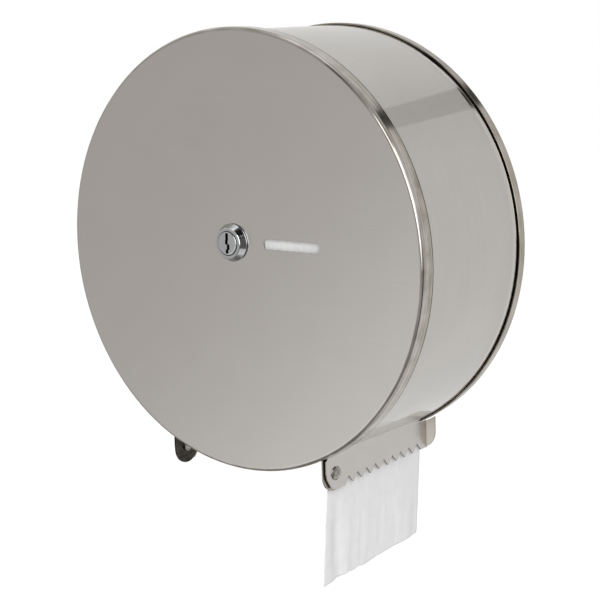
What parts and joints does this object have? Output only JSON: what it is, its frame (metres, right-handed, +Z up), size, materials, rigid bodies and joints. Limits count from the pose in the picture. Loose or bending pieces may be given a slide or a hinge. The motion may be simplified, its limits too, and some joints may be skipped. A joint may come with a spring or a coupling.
{
  "type": "jumbo toilet roll dispenser",
  "caption": "Round wall-hung dispenser for one large paper roll: back pan, drum wall with tear blades, hinged cover with cam lock and sight slot.",
  "frame": {"origin": "centre of the round drum, on the plane of the wall that the back pan lies on", "axes": "+X to the right as seen from the room, +Y into the wall, +Z up; the cover's face looks along -Y"},
  "size_m": [0.265, 0.1184, 0.33],
  "materials": {
    "stainless_sheet": "fine satin",
    "stainless_fittings": "satin",
    "chromed_zinc": "bright plated",
    "core_board": "matt",
    "tissue": "soft, matt"
  },
  "bodies": {
    "drum": {"back_pan": "stainless_sheet", "drum_wall": "stainless_sheet", "tear_blade_right": "stainless_sheet", "tear_blade_left": "stainless_sheet", "hinge_rivet_right": "stainless_fittings", "hinge_rivet_left": "stainless_fittings", "hinge_washer_right": "stainless_fittings", "hinge_washer_left": "stainless_fittings", "spindle_base": "stainless_sheet", "spindle_base_rivets": "stainless_fittings", "spindle_tube": "stainless_sheet", "spindle_latch_plate": "stainless_sheet", "paper_sheet": "tissue"},
    "cover": {"front_cover": "stainless_sheet", "cover_ear_right": "stainless_sheet", "cover_ear_left": "stainless_sheet", "lock_barrel": "chromed_zinc", "lock_fixing_nut": "chromed_zinc"},
    "lock_core": {"lock_plug": "chromed_zinc", "lock_cam": "stainless_fittings", "cam_screw": "stainless_fittings"},
    "roll": {"paper_core": "core_board", "paper_roll": "tissue"}
  },
  "joints": [
    {"name": "cover_hinge", "type": "hinge", "parent": "drum", "child": "cover", "pos_m": [0, -0.0982, -0.12896], "axis": [1, 0, 0], "range_deg": [0, 95]},
    {"name": "lock_turn", "type": "hinge", "parent": "cover", "child": "lock_core", "pos_m": [-0.0016, -0.113, 0.0065], "axis": [0, 1, 0], "range_deg": [0, 90]},
    {"name": "roll_spin", "type": "hinge", "parent": "drum", "child": "roll", "pos_m": [0, -0.056, 0.0048], "axis": [0, 1, 0], "continuous": true}
  ]
}
